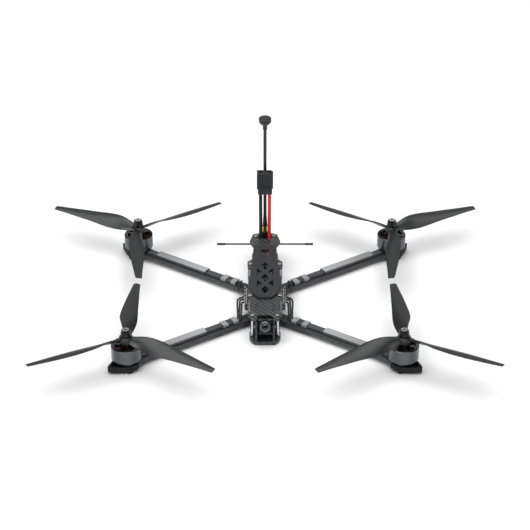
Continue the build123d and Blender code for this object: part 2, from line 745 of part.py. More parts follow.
def camera_side_plate(side):
    """Upright carbon plate beside the camera, with a tab into the bottom plate and a tilt slot."""
    low, high = bottom_plate_thick, top_bottom
    front, back = side_plate_front, side_plate_back
    outline = [(back, low), (back, low + 5.0), (back - 4.0, high)]
    outline += [(front + 4.0, high), (front, high - 5.0), (front, low)]
    outline += [(side_tab_y[0] + clearance, low), (side_tab_y[0] + clearance, low - tab_depth)]
    outline += [(side_tab_y[1] - clearance, low - tab_depth), (side_tab_y[1] - clearance, low)]
    sketch = make_face(Polyline(*outline, close=True))
    plate = extrude(Plane.YZ * sketch, side_plate_thick)
    plate = Pos(side_plate_inner, 0, 0) * plate
    plate = plate - Pos(side_plate_inner, camera_pivot_y, camera_pivot_z) * Rot(0, 90, 0) * Cylinder(1.05, 10)
    window = Rot(0, 90, 0) * extrude(SlotOverall(9, 3.2, rotation=90), 6)
    plate = plate - Pos(side_plate_inner - 1, camera_pivot_y + 3.5, low + 6.5) * window
    return plate if side > 0 else mirror(plate, about=Plane.YZ)


def camera_body():
    """Moulded camera housing with a raised hood over the lens seat."""
    half = camera_half_width
    tall = camera_height / 2
    front = -camera_depth / 2 - 0.5
    back = camera_depth / 2 - 0.5
    box = block(-half, half, front, back, -tall, tall)
    box = chamfer(box.edges().group_by(Axis.Y)[0], 1.6)
    box = fillet(box.edges().filter_by(Axis.X).group_by(Axis.Y)[-1], 1.0)
    seat = Pos(0, front - 1.0, 0) * Rot(90, 0, 0) * Cylinder(7.6, 2.4)
    hood_low = lens_radius + 0.4
    hood_outline = [(-3.2, front + 0.5), (3.2, front + 0.5), (2.0, front - 2.6), (-2.0, front - 2.6)]
    hood = slab(hood_outline, hood_low, tall - 0.4)
    body = box + seat + hood
    bore = Pos(0, front - 2.0, 0) * Rot(90, 0, 0) * Cylinder(5.0 + clearance, 6.0)
    body = body - bore
    for side in (-1, 1):
        body = body - Pos(side * half, 0, 0) * Rot(0, 90, 0) * Cylinder(1.0, 7.0)
    return camera_frame() * body


def camera_lens():
    """Lens barrel with a wide bright ring, and the glass set into it."""
    front = -camera_depth / 2 - 0.5
    thread = Pos(0, front - 1.5, 0) * Rot(90, 0, 0) * Cylinder(5.0, 5.0)
    ring_back, ring_front = front - 2.2 - clearance, -lens_reach
    ring = Pos(0, (ring_back + ring_front) / 2, 0) * Rot(90, 0, 0) * Cylinder(lens_radius, ring_back - ring_front)
    ring = chamfer(ring.edges().group_by(Axis.Y)[0], 0.5)
    barrel = thread + ring
    glass_radius = 3.9
    cup = Pos(0, -lens_reach, 0) * Rot(90, 0, 0) * Cylinder(glass_radius, 4.0)
    barrel = barrel - cup
    glass = Pos(0, -lens_reach + 1.35, 0) * Rot(90, 0, 0) * Cylinder(glass_radius - clearance, 1.2)
    dome = Pos(0, -lens_reach + 8.2, 0) * Sphere(8.4)
    dome = dome & Pos(0, -lens_reach + 0.6, 0) * Rot(90, 0, 0) * Cylinder(glass_radius - clearance, 2.0)
    return [camera_frame() * barrel, camera_frame() * (glass + dome)]


def camera_screws():
    """Pivot screws, one each side; they turn with the camera in the side plates' holes."""
    seat = side_plate_outer + 0.2
    inner_end = camera_half_width - 3.0
    shank = Pos((seat + inner_end) / 2, 0, 0) * Rot(0, 90, 0) * Cylinder(1.0, seat - inner_end)
    head = Pos(seat + 0.6, 0, 0) * Rot(0, 90, 0) * Cylinder(1.9, 1.2)
    head = head - Pos(seat + 1.2, 0, 0) * Rot(0, 90, 0) * Cylinder(0.8, 1.2)
    screw = shank + head
    return [camera_frame() * piece for piece in in_both(screw)]


# ---------------------------------------------------------------- antennas
mount_low = top_bottom - 6.5
mount_high = top_top + 1.6
mount_y = (antenna_y - 5.2, antenna_y + 4.4)
socket_top = mount_high + 9.9


def antenna_mount():
    """Printed block in the rear window that carries the antenna socket."""
    half = lead_window_half - window_gap
    core = block(-half, half, mount_y[0], mount_y[1], top_bottom + 0.2, mount_high)
    core = fillet(core.edges().filter_by(Axis.Z), 1.8)
    flange = block(-7.4, 7.4, mount_y[0], mount_y[1], mount_low, top_bottom + 0.2)
    wings = block(-8.9, 8.9, mount_y[0] + 1.6, mount_y[1], top_bottom - 3.0, top_bottom)
    body = core + flange + wings
    collar = rod(4.0, mount_high - 0.5, mount_high + 2.0, 0, antenna_y)
    body = body + collar
    for x, y in both_sides([long_standoff_places[0]]):
        body = body - rod(standoff_radius + 0.2, mount_low - 1, top_bottom + 1, x, y)
    return body - rod(3.1 + clearance, mount_low - 1, mount_high + 5, 0, antenna_y)


def video_antenna_socket():
    """Threaded coaxial socket with its hexagonal nut."""
    barrel = rod(3.1, mount_low + 1, socket_top - 1.5, 0, antenna_y)
    nut = Pos(0, antenna_y, mount_high + 2.0) * extrude(RegularPolygon(4.5, 6), 6.6)
    knurl = rod(3.8, mount_high + 8.6, socket_top + 1.0, 0, antenna_y)
    return [barrel + nut + knurl]


stem_low = socket_top + 1.0
sleeve_top = stem_low + 16.2
neck_z = antenna_top_z - 16.2
antenna_cap_low = antenna_top_z - 8.5


def video_antenna_stem():
    """Semi-rigid coaxial stem with a tapered strain sleeve at its foot."""
    stem = rod(antenna_stem_radius, stem_low, neck_z, 0, antenna_y)
    sleeve = Cone(3.3, antenna_stem_radius + 0.05, sleeve_top - stem_low)
    sleeve = Pos(0, antenna_y, (stem_low + sleeve_top) / 2) * sleeve
    return stem + sleeve


def video_antenna_cap():
    """Round radome on a short neck."""
    radius = antenna_cap_radius
    neck_radius = antenna_stem_radius + 0.8
    outline = [(0, neck_z), (neck_radius, neck_z), (neck_radius, neck_z + 4.5), (radius - 2.4, antenna_cap_low)]
    outline += [(radius, antenna_cap_low + 2.6), (radius, antenna_top_z - 0.8)]
    outline += [(radius - 0.8, antenna_top_z), (0, antenna_top_z)]
    return Pos(0, antenna_y, 0) * revolve(Plane.XZ * make_face(Polyline(*outline, close=True)), Axis.Z)


receiver_antenna_y = 112.2
receiver_antenna_z = top_bottom - 1.5
receiver_antenna_half = 62.8
receiver_rod_radius = 1.1
receiver_tip_radius = 1.5
receiver_tip_length = 10.7
receiver_block_half = 3.4


def receiver_antenna():
    """T-shaped dipole: a centre block under the deck, two thin rods and their end sleeves."""
    near, far = receiver_antenna_y - 3.0, receiver_antenna_y + 2.4
    centre = block(-receiver_block_half, receiver_block_half, near, far, receiver_antenna_z - 1.8, top_bottom)
    pieces = [centre]
    outer = receiver_antenna_half - receiver_tip_length
    for side in (-1, 1):
        rod_middle = side * (receiver_block_half + outer) / 2
        thin = Pos(rod_middle, receiver_antenna_y, receiver_antenna_z) * Rot(0, 90, 0)
        pieces.append(thin * Cylinder(receiver_rod_radius, outer - receiver_block_half))
        tip = Pos(side * (outer + receiver_antenna_half) / 2, receiver_antenna_y, receiver_antenna_z) * Rot(0, 90, 0)
        pieces.append(tip * Cylinder(receiver_tip_radius, receiver_tip_length))
    return pieces


# ---------------------------------------------------------------- wires and leads
def swept(points, radii, radius):
    """Round wire along straight runs joined by tangent arcs."""
    path = FilletPolyline(*points, radius=radii)
    start = Plane(origin=path @ 0, z_dir=path % 0)
    return sweep(start * Circle(radius), path=path)


def corner_radii(points, share=0.45):
    """One radius for each corner: a share of its shorter run over the tangent of half the turn."""
    radii = []
    for before, here, after in zip(points, points[1:], points[2:]):
        run_in, run_out = Vector(*here) - Vector(*before), Vector(*after) - Vector(*here)
        half_turn = radians(run_in.get_angle(run_out) / 2)
        shorter = min(run_in.length, run_out.length)
        radii.append(share * shorter * cos(half_turn) / sin(half_turn))
    return radii


wire_level = arm_top + wire_diameter / 2 + 0.5
band_a = (43.0, 50.0)
band_b = (58.0, 65.0)
cover_span = (90.0, arm_length - 33.1)
sleeve_start = 66.0
wire_end = arm_length - base_radius - 0.4


# lane of each wire round the frame: sideways reach, first step and second step lengthways
front_lanes = [(8.7, -5.1, -14.7), (5.9, -1.5, -38.1), (3.4, -2.2, -40.4)]
rear_lanes = [(3.9, 2.9, 40.8), (6.6, 2.0, 38.9), (8.4, 4.0, 18.3)]
lane_pitch = 2.5  # spacing for which the lanes are laid out
lane_follow = 0.3  # how far the last bend moves lengthways as the wires grow
band_lead_in = 4.0
wire_start_gap = 0.9
wire_bend_limit = 6.0


def wire_route(corner, index):
    """From a solder pad, out and down to the arm, then straight along it to the motor."""
    side, end = corners[corner]
    pad_y = (pad_places[:3] if end > 0 else pad_places[3:])[index]
    reach, step, lane_end = (rear_lanes if end > 0 else front_lanes)[index]
    growth = wire_pitch / lane_pitch - 1
    reach = reach * (1 + growth)
    lane_end = lane_end * (1 + lane_follow * growth)
    pad_z = esc_top + 1.3
    offset = (index - 1) * wire_pitch
    enter = along_arm(corner, band_a[0] - band_lead_in, offset)
    leave = along_arm(corner, wire_end, offset)
    return [
        (side * (esc_half_x + wire_start_gap), pad_y, pad_z),
        (side * (esc_half_x + reach), pad_y + step, pad_z - 0.2),
        (side * (esc_half_x + reach + 0.5), lane_end, pad_z - 1.8),
        (*enter, wire_level),
        (*leave, wire_level),
    ]


def motor_wires():
    """Three phase wires for each motor."""
    pieces = []
    for corner in corners:
        for index in range(3):
            points = wire_route(corner, index)
            radii = [min(radius, wire_bend_limit) for radius in corner_radii(points)]
            pieces.append(swept(points, radii, wire_diameter / 2))
    return pieces


def oblong(corner, start, end, width, height, low, hole_width, hole_height, hole_low):
    """Flat tube round the three wires of one arm, from its start to its end along the arm."""
    body = block(start, end, -width / 2, width / 2, low, low + height)
    body = fillet(body.edges().filter_by(Axis.X), min(height, width) * 0.3)
    hole = block(start - 1, end + 1, -hole_width / 2, hole_width / 2, hole_low, hole_low + hole_height)
    return arm_place(corner) * (body - hole)


wires_low = wire_level - wires_height / 2


def wire_sleeves():
    """Braided sleeves from the taped joint to the motor."""
    outside = (sleeve_width, sleeve_height, arm_top)
    inside = (wires_width, wires_height, wires_low)
    return [oblong(corner, sleeve_start, wire_end - 4, *outside, *inside) for corner in corners]


def wire_bands():
    """Two tape bands and the shrink tube between them on each arm."""
    pieces = []
    tape_outside = (wires_width + 3.7, wires_height + 1.7, arm_top)
    tape_inside = (wires_width + 0.4, wires_height + 0.4, wires_low - 0.2)
    shrink_outside = (wires_width + 2.7, wires_height + 1.3, arm_top)
    shrink_inside = (wires_width, wires_height, wires_low)
    for corner in corners:
        pieces.append(oblong(corner, *band_a, *tape_outside, *tape_inside))
        pieces.append(oblong(corner, *band_b, *tape_outside, *tape_inside))
        pieces.append(oblong(corner, band_a[1], band_b[0], *shrink_outside, *shrink_inside))
    return pieces


def wire_covers():
    """Channel covers over the sleeves, one on each arm."""
    pieces = []
    for corner in corners:
        start, end = cover_span
        half = cover_width / 2
        shell = block(start, end, -half, half, arm_top, arm_top + cover_height)
        shell = chamfer(shell.edges().filter_by(Axis.X).group_by(Axis.Z)[-1], 0.9)
        inner = half - cover_wall
        channel = block(start - 1, end + 1, -inner, inner, arm_top - 1, arm_top + cover_height - cover_wall)
        pieces.append(arm_place(corner) * (shell - channel))
    return pieces


lead_start_y = esc_half_y + 0.2
lead_start_z = esc_top + lead_diameter / 2 - 0.6


def battery_lead(side):
    """Power lead: along the frame from the speed controller, then up to the connector."""
    x = side * lead_half_pitch
    points = [
        (x, lead_start_y, lead_start_z),
        (x + side * 1.2, 52.0, lead_start_z - 0.8),
        (x + side * 0.6, 76.0, lead_start_z - 0.9),
        (x, lead_y - 27.0, lead_start_z - 1.1),
        (x, lead_y - 10.5, lead_start_z - 2.2),
        (x, lead_y - 1.5, lead_start_z + 3.5),
        (x, lead_y - 0.3, lead_start_z + 17.9),
        (x - side * 0.2, lead_y - 0.2, lead_start_z + 38.0),
        (x, lead_y, (lead_start_z + 38.0 + connector_base_z) / 2),
        (x, lead_y, connector_base_z),
    ]
    radii = corner_radii(points)
    return swept(points, radii, lead_diameter / 2)


def connector_housing():
    """Upper shell of the two-pole power connector."""
    low = connector_base_z + connector_cap_height
    half_x, half_y = connector_width / 2, connector_depth / 2
    shell = block(-half_x, half_x, lead_y - half_y, lead_y + half_y, low, low + connector_height)
    shell = chamfer(shell.edges().filter_by(Axis.Z).sort_by(Axis.X)[-2:], 2.6)
    shell = chamfer(shell.edges().group_by(Axis.Z)[-1], 0.5)
    for side in (-1, 1):
        seat = rod(contact_outer + clearance, low - 1, low + connector_height + 1, side * lead_half_pitch, lead_y)
        shell = shell - seat
    for z in (low + 2.0, low + 4.2):
        for y in (lead_y - half_y, lead_y + half_y):
            shell = shell - block(-6.0, 6.0, y - 0.35, y + 0.35, z, z + 0.9)
    return shell


contact_outer = 3.0


def connector_cap():
    """Tapered lower cap that covers the solder cups."""
    half_x, half_y = connector_width / 2 - 1.3, connector_depth / 2 - 0.7
    low, high = connector_base_z, connector_base_z + connector_cap_height
    cap = block(-half_x, half_x, lead_y - half_y, lead_y + half_y, low, high)
    cap = chamfer(cap.edges().group_by(Axis.Z)[0], 1.1)
    for side in (-1, 1):
        cap = cap - rod(contact_outer + clearance, low + 3.0, high + 1, side * lead_half_pitch, lead_y)
        cap = cap - rod(lead_diameter / 2 - 0.4, low - 1, low + 4, side * lead_half_pitch, lead_y)
    return cap


def connector_contacts():
    """Two gold-plated socket contacts, open at the top."""
    low = connector_base_z + 3.0
    high = connector_base_z + connector_cap_height + connector_height - 0.6
    pieces = []
    for side in (-1, 1):
        pin = rod(contact_outer, low, high, side * lead_half_pitch, lead_y)
        bore = rod(contact_bore_radius, high - 14.0, high + 1, side * lead_half_pitch, lead_y)
        pieces.append(pin - bore)
    return pieces


# ---------------------------------------------------------------- write every node
os.makedirs("parts", exist_ok=True)

save("bottom_plate", bottom_plate())
save("mid_plate", mid_plate())
save("top_plate", top_plate())
save("battery_pad", battery_pad())
for name in corners:
    save("arm_" + name, arm(name))

save("arm_end_guards", [arm_end_guard(name) for name in corners])
save("motor_bases", [motor_place(name) * motor_base() for name in corners])
save("motor_bearings", [motor_place(name) * ring for name in corners for ring in motor_bearings()])
core = stator_core()
save("motor_stators", [motor_place(name) * core for name in corners])
coils = stator_coils()
save("motor_windings", [motor_place(name) * coil for name in corners for coil in coils])
save("motor_screws", motor_screws())

bell_shape = bell()
magnet_shapes = magnets()
right_hand_propeller = propeller_anticlockwise()
left_hand_propeller = mirror(right_hand_propeller, about=Plane.XZ)
for name, (side, end) in corners.items():
    place = Pos(side * motor_half_x, end * motor_half_y, 0)
    blades = right_hand_propeller if turns_anticlockwise[name] else left_hand_propeller
    save("bell_" + name, motor_place(name) * bell_shape)
    save("magnets_" + name, [motor_place(name) * tile for tile in magnet_shapes])
    save("shaft_" + name, place * shaft())
    save("propeller_" + name, place * Rot(0, 0, first_blade_angle[name]) * blades)
    save("prop_nut_" + name, [place * piece for piece in prop_nut()])

save("standoffs", standoffs())
save("frame_screws", frame_screws())
save("camera_side_plates", [camera_side_plate(-1), camera_side_plate(1)])
save("camera_body", camera_body())
save("camera_lens", camera_lens())
save("camera_screws", camera_screws())
save("esc_board", esc_board())
save("flight_controller", flight_controller())
save("stack_mounts", stack_mounts())
save("video_transmitter", video_transmitter())
save("receiver", receiver())
save("capacitor", capacitor())
save("antenna_mount", antenna_mount())
save("video_antenna_socket", video_antenna_socket())
save("video_antenna_stem", video_antenna_stem())
save("video_antenna_cap", video_antenna_cap())
save("receiver_antenna", receiver_antenna())
save("motor_wires", motor_wires())
save("wire_sleeves", wire_sleeves())
save("wire_bands", wire_bands())
save("wire_covers", wire_covers())
save("battery_lead_black", battery_lead(-1))
save("battery_lead_red", battery_lead(1))
save("connector_housing", connector_housing())
save("connector_cap", connector_cap())
save("connector_contacts", connector_contacts())
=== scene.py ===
from math import atan2, cos, pi, radians, sin

import bmesh
import bpy
import numpy as np
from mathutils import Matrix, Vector


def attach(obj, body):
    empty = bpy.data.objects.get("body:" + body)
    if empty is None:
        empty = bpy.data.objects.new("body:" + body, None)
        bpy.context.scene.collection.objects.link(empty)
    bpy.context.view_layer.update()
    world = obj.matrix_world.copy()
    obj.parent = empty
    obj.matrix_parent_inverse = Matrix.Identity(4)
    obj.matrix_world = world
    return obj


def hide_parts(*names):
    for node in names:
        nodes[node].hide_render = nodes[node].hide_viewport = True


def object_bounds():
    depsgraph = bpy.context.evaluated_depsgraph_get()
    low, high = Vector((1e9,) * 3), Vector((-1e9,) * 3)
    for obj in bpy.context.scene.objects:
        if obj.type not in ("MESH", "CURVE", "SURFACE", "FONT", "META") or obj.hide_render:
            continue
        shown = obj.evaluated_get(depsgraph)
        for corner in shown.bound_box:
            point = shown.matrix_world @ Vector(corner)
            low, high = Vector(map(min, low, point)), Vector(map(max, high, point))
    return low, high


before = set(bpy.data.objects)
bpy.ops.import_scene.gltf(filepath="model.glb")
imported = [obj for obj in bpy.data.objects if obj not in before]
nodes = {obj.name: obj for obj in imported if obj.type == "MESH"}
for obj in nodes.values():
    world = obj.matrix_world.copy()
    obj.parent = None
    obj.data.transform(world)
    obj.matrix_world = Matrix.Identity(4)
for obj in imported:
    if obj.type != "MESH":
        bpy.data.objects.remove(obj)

cad_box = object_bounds()
corners = ("front_left", "front_right", "rear_left", "rear_right")
mm = 0.001

# Sizes that the looks share with the solid parts, in metres.
motor_x, motor_y, arm_root_y = 0.1664, 0.1339, 0.021
arm_turn = atan2(motor_y - arm_root_y, motor_x)
esc_top, fc_top = 0.0165, 0.0241
camera_pivot = Vector((0.0, -0.076, 0.0208))
camera_rest_tilt = radians(30)


# ---------------------------------------------------------------- camera and studio
aim = Vector((0.0, 0.0, 0.040))
camera_distance = 2.450
camera_rise = radians(31.05)
lens_mm = 132.6
frame_shift = 0.0304

camera_data = bpy.data.cameras.new("studio_camera")
camera_data.lens = lens_mm
camera_data.sensor_width = 36.0
camera_data.shift_y = frame_shift
camera_data.clip_end = 50.0
camera = bpy.data.objects.new("studio_camera", camera_data)
bpy.context.scene.collection.objects.link(camera)
camera.location = aim + camera_distance * Vector((0, -cos(camera_rise), sin(camera_rise)))
camera.rotation_euler = (pi / 2 - camera_rise, 0, 0)
bpy.context.scene.camera = camera
bpy.context.scene.view_settings.view_transform = "Standard"


def linear(hex_colour):
    """sRGB hex to the linear RGBA that shaders take."""
    shares = [int(hex_colour[i : i + 2], 16) / 255 for i in (1, 3, 5)]
    return tuple(s / 12.92 if s <= 0.04045 else ((s + 0.055) / 1.055) ** 2.4 for s in shares) + (1.0,)


def soft_box(name, place, target, width, height, watts, tint="#ffffff"):
    """A rectangular studio light that faces its target."""
    light = bpy.data.lights.new(name, "AREA")
    light.shape = "RECTANGLE"
    light.size, light.size_y = width, height
    light.energy = watts
    light.color = linear(tint)[:3]
    lamp = bpy.data.objects.new(name, light)
    bpy.context.scene.collection.objects.link(lamp)
    lamp.location = place
    lamp.rotation_euler = (Vector(target) - Vector(place)).to_track_quat("-Z", "Y").to_euler()


soft_box("overhead_soft_box", (-0.2, 0.0, 2.6), aim, 3.8, 3.8, 112)
soft_box("left_strip", (-1.6, -0.9, 0.55), aim, 0.30, 1.2, 10)
soft_box("right_strip", (1.7, -0.7, 0.55), aim, 0.25, 1.2, 5)
soft_box("back_soft_box", (0.2, 2.6, 1.3), aim, 2.6, 0.9, 5)

studio = bpy.data.worlds.new("studio_air")
studio.use_nodes = True
studio.node_tree.nodes["Background"].inputs["Color"].default_value = linear("#fdfdfe")
studio.node_tree.nodes["Background"].inputs["Strength"].default_value = 0.10
bpy.context.scene.world = studio


# ---------------------------------------------------------------- finishes
def add(tree, kind, inputs=None, **settings):
    """Adds one node, with its own settings, and its inputs as values or as sockets to link."""
    made = tree.nodes.new("ShaderNode" + kind)
    for key, value in settings.items():
        setattr(made, key, value)
    for key, value in (inputs or {}).items():
        if isinstance(value, bpy.types.NodeSocket):
            tree.links.new(value, made.inputs[key])
        else:
            made.inputs[key].default_value = value
    return made


def new_finish(name, colour, roughness, **sockets):
    """A material with its shader's even values set. Returns the material, its tree and its shader."""
    material = bpy.data.materials.new(name)
    material.use_nodes = True
    tree = material.node_tree
    shader = tree.nodes["Principled BSDF"]
    shader.inputs["Base Color"].default_value = linear(colour)
    shader.inputs["Roughness"].default_value = roughness
    for key, value in sockets.items():
        shader.inputs[key.replace("_", " ")].default_value = value
    return material, tree, shader


def dress(tree, shader, colour=None, roughness=None, height=None, depth=0.0001, strength=1.0):
    """Links worked-out patterns to the shader: its colour, its roughness and a relief of that depth in metres."""
    if colour is not None:
        tree.links.new(colour, shader.inputs["Base Color"])
    if roughness is not None:
        tree.links.new(roughness, shader.inputs["Roughness"])
    if height is not None:
        bump = add(tree, "Bump", {"Height": height, "Distance": depth, "Strength": strength})
        tree.links.new(bump.outputs[0], shader.inputs["Normal"])


def grain(tree, size, detail=3.0, stretch=(1.0, 1.0, 1.0)):
    """Noise whose lumps are about size metres across."""
    place = add(tree, "TexCoord").outputs["Object"]
    turned = add(tree, "Mapping", {"Vector": place, "Scale": stretch}).outputs[0]
    return add(tree, "TexNoise", {"Vector": turned, "Scale": 1 / size, "Detail": detail}).outputs[0]


def spread(tree, share, low, high):
    """A share from 0 to 1 turned to the range from low to high."""
    return add(tree, "MapRange", {"Value": share, "To Min": low, "To Max": high}).outputs[0]


def blend_colours(tree, share, first, second):
    """The first colour where share is 0, the second where it is 1."""
    return add(tree, "Mix", {0: share, 6: linear(first), 7: linear(second)}, data_type="RGBA").outputs[2]


def axes(tree):
    """X, Y and Z in the shared frame, in metres."""
    split = add(tree, "SeparateXYZ", {0: add(tree, "TexCoord").outputs["Object"]})
    return split.outputs[0], split.outputs[1], split.outputs[2]


def arm_axes(tree):
    """Distance along the nearest arm from its root, and across it, from |x| and |y|."""
    x, y, z = axes(tree)
    side = add(tree, "Math", {0: x}, operation="ABSOLUTE").outputs[0]
    end = add(tree, "Math", {0: y}, operation="ABSOLUTE").outputs[0]
    end = add(tree, "Math", {0: end, 1: arm_root_y}, operation="SUBTRACT").outputs[0]
    side_part = add(tree, "Math", {0: side, 1: cos(arm_turn)}, operation="MULTIPLY").outputs[0]
    along = add(tree, "Math", {0: end, 1: sin(arm_turn), 2: side_part}, operation="MULTIPLY_ADD").outputs[0]
    end_part = add(tree, "Math", {0: end, 1: cos(arm_turn)}, operation="MULTIPLY").outputs[0]
    across = add(tree, "Math", {0: side, 1: -sin(arm_turn), 2: end_part}, operation="MULTIPLY_ADD").outputs[0]
    return along, across, z


def upright(tree):
    """1 on faces that stand upright, 0 on level ones."""
    facing = add(tree, "SeparateXYZ", {0: add(tree, "NewGeometry").outputs["Normal"]}).outputs[2]
    level = add(tree, "Math", {0: facing}, operation="ABSOLUTE").outputs[0]
    return add(tree, "Math", {0: level, 1: 0.5}, operation="LESS_THAN").outputs[0]


def twill(tree, across, along, tow):
    """Two-by-two twill of tows that wide: cell (i, j) shows the lengthways tow where (i + j) mod 4 is below 2.
    Returns that share and the weave's height, which is round across whichever tow is on top."""
    u = add(tree, "Math", {0: across, 1: tow}, operation="DIVIDE").outputs[0]
    v = add(tree, "Math", {0: along, 1: tow}, operation="DIVIDE").outputs[0]
    i = add(tree, "Math", {0: u}, operation="FLOOR").outputs[0]
    j = add(tree, "Math", {0: v}, operation="FLOOR").outputs[0]
    cell = add(tree, "Math", {0: i, 1: j}, operation="ADD").outputs[0]
    step = add(tree, "Math", {0: cell, 1: 4.0}, operation="FLOORED_MODULO").outputs[0]
    over = add(tree, "Math", {0: step, 1: 1.5}, operation="LESS_THAN").outputs[0]
    rounds = []
    for place in (u, v):
        share = add(tree, "Math", {0: place}, operation="FRACT").outputs[0]
        rounds.append(add(tree, "Math", {0: share, 1: pi}, operation="MULTIPLY").outputs[0])
    rounds = [add(tree, "Math", {0: turn}, operation="SINE").outputs[0] for turn in rounds]
    height = add(tree, "Mix", {0: over, 2: rounds[1], 3: rounds[0]}, data_type="FLOAT").outputs[0]
    return over, height


def carbon(name, tow, light, dark, roughness, on_arm=False):
    """Woven carbon laminate under a thin satin resin: its tows shine by turns, and cut edges show the same weave."""
    material, tree, shader = new_finish(name, light, roughness, Coat_Weight=0.25, Coat_Roughness=0.22)
    if on_arm:
        along, across, z = arm_axes(tree)
    else:
        across, along, z = axes(tree)
        both = add(tree, "Math", {0: across, 1: along}, operation="ADD").outputs[0]
    edge = upright(tree)
    first = add(tree, "Mix", {0: edge, 2: across, 3: along if on_arm else both}, data_type="FLOAT").outputs[0]
    second = add(tree, "Mix", {0: edge, 2: along, 3: z}, data_type="FLOAT").outputs[0]
    over, height = twill(tree, first, second, tow)
    fibres = grain(tree, 0.0016, 4.0)
    share = add(tree, "Math", {0: over, 1: fibres}, operation="MULTIPLY").outputs[0]
    share = add(tree, "Math", {0: share, 1: 1.5}, operation="MULTIPLY", use_clamp=True).outputs[0]
    colour = blend_colours(tree, share, dark, light)
    rough = spread(tree, over, roughness - 0.10, roughness + 0.14)
    dress(tree, shader, colour, rough, height, 0.00012, 0.5)
    return material


# Plates: 3K twill, 2 mm tows under satin resin, seen as grey with darker diagonal lines.
plate_carbon = carbon("plate_carbon_twill", 0.0020, "#4e4f52", "#18191b", 0.48)
# Arms: a finer cloth, its edges milled and bare, so the plies' ends show as a lighter hatch.
arm_carbon = carbon("arm_carbon_twill", 0.0013, "#3c3d40", "#17181a", 0.48, on_arm=True)

# Deck pad: moulded silicone rubber, matt, with a fine tooth.
pad_rubber, tree, shader = new_finish("deck_pad_rubber", "#28292b", 0.62, Specular_IOR_Level=0.45)
tooth = grain(tree, 0.0011, 2.0)
dress(tree, shader, blend_colours(tree, tooth, "#202123", "#2f3033"), spread(tree, tooth, 0.55, 0.72), tooth, 0.00008, 0.5)

# Arm-end guards: printed flexible polyurethane, matt black, in layers drawn 0.6 mm apart to show.
guard_tpu, tree, shader = new_finish("guard_printed_tpu", "#0e0f10", 0.66, Specular_IOR_Level=0.4)
_, _, height_axis = axes(tree)
layer = add(tree, "Math", {0: height_axis, 1: 2 * pi / 0.0006}, operation="MULTIPLY").outputs[0]
layer = add(tree, "Math", {0: layer}, operation="SINE").outputs[0]
mottle = grain(tree, 0.004)
dress(tree, shader, blend_colours(tree, mottle, "#0a0b0c", "#161718"), spread(tree, mottle, 0.58, 0.74), layer, 0.00005, 0.5)


def turned_metal(name, colour, worn, roughness, metallic, groove):
    """Metal turned on a lathe: even grooves along the turning axis, and a faint cloud of handling."""
    material, tree, shader = new_finish(name, colour, roughness, Metallic=metallic, Anisotropic=0.35)
    _, _, z = axes(tree)
    ridge = add(tree, "Math", {0: z, 1: 2 * pi / groove}, operation="MULTIPLY").outputs[0]
    ridge = add(tree, "Math", {0: ridge}, operation="SINE").outputs[0]
    cloud = grain(tree, 0.006)
    colour = blend_colours(tree, cloud, colour, worn)
    dress(tree, shader, colour, spread(tree, cloud, roughness - 0.05, roughness + 0.08), ridge, 0.00002, 0.35)
    return material


# Motor bells and bases: turned aluminium, black anodised: a satin dark grey with long reflections.
bell_anodised = turned_metal("bell_black_anodised", "#67686b", "#57585b", 0.24, 0.95, 0.0009)
# Shafts, bearings and the laminations' edges: ground steel.
ground_steel = turned_metal("ground_steel", "#a7a8aa", "#8f9092", 0.28, 1.0, 0.0007)
# Pillars: turned aluminium, clear anodised, bright and satin.
pillar_aluminium = turned_metal("pillar_clear_anodised", "#dcdde0", "#c4c5c9", 0.30, 1.0, 0.0010)
# Screws: zinc-plated steel, bright, a little cloudy.
zinc_steel = turned_metal("screw_zinc_steel", "#c4c2bb", "#a3a19b", 0.26, 1.0, 0.0008)
# Nut insert: bare turned aluminium, the brightest ring on the aircraft.
bright_ring = turned_metal("nut_bright_ring", "#d2d2d4", "#bcbcbf", 0.22, 1.0, 0.0006)
# Nut body: hard black anodised aluminium, nearly matt.
nut_anodised = turned_metal("nut_black_anodised", "#101012", "#18181a", 0.38, 0.4, 0.0008)
# Gilt: thin gold over nickel on the contacts and the antenna's coupling.
gold_plate = turned_metal("gold_plate", "#e3c98c", "#cdae68", 0.22, 1.0, 0.0006)
# Magnets: nickel-plated neodymium.
nickel = turned_metal("magnet_nickel", "#b9b8b4", "#9b9a97", 0.24, 1.0, 0.0010)
# Lens ring: turned aluminium, grey anodised.
lens_anodised = turned_metal("lens_grey_anodised", "#a2a4a7", "#8e9093", 0.30, 0.9, 0.0005)
# Transmitter case: milled aluminium, dark anodised.
case_anodised = turned_metal("case_dark_anodised", "#3b3d42", "#2e3034", 0.38, 0.85, 0.0012)

# Windings: enamelled copper wire laid side by side, 0.5 mm apart up the tooth; the colour darkens in the grooves
# between turns as painted shade and lightens on their crowns as a painted highlight.
copper, tree, shader = new_finish("enamelled_copper", "#9a4c20", 0.26, Metallic=1.0, Coat_Weight=0.5, Coat_Roughness=0.12)
_, _, z = axes(tree)
turns = add(tree, "Math", {0: z, 1: 2 * pi / 0.0005}, operation="MULTIPLY").outputs[0]
turns = add(tree, "Math", {0: turns}, operation="SINE").outputs[0]
# Painted shade and highlight: dark copper in the grooves between turns, light copper on their crowns.
painted_wire_shading = spread(tree, turns, 0.0, 1.0)
dress(tree, shader, blend_colours(tree, painted_wire_shading, "#5c2910", "#a35e2e"), None, turns, 0.0001, 0.8)

# Laminations: thin steel sheets stacked and coated black, 0.5 mm apart.
lamination, tree, shader = new_finish("coated_laminations", "#101113", 0.42, Metallic=0.4)
_, _, z = axes(tree)
sheets = add(tree, "Math", {0: z, 1: 2 * pi / 0.0005}, operation="MULTIPLY").outputs[0]
sheets = add(tree, "Math", {0: sheets}, operation="SINE").outputs[0]
dress(tree, shader, blend_colours(tree, spread(tree, sheets, 0.0, 1.0), "#0a0b0c", "#191b1d"), None, sheets, 0.00006, 0.6)


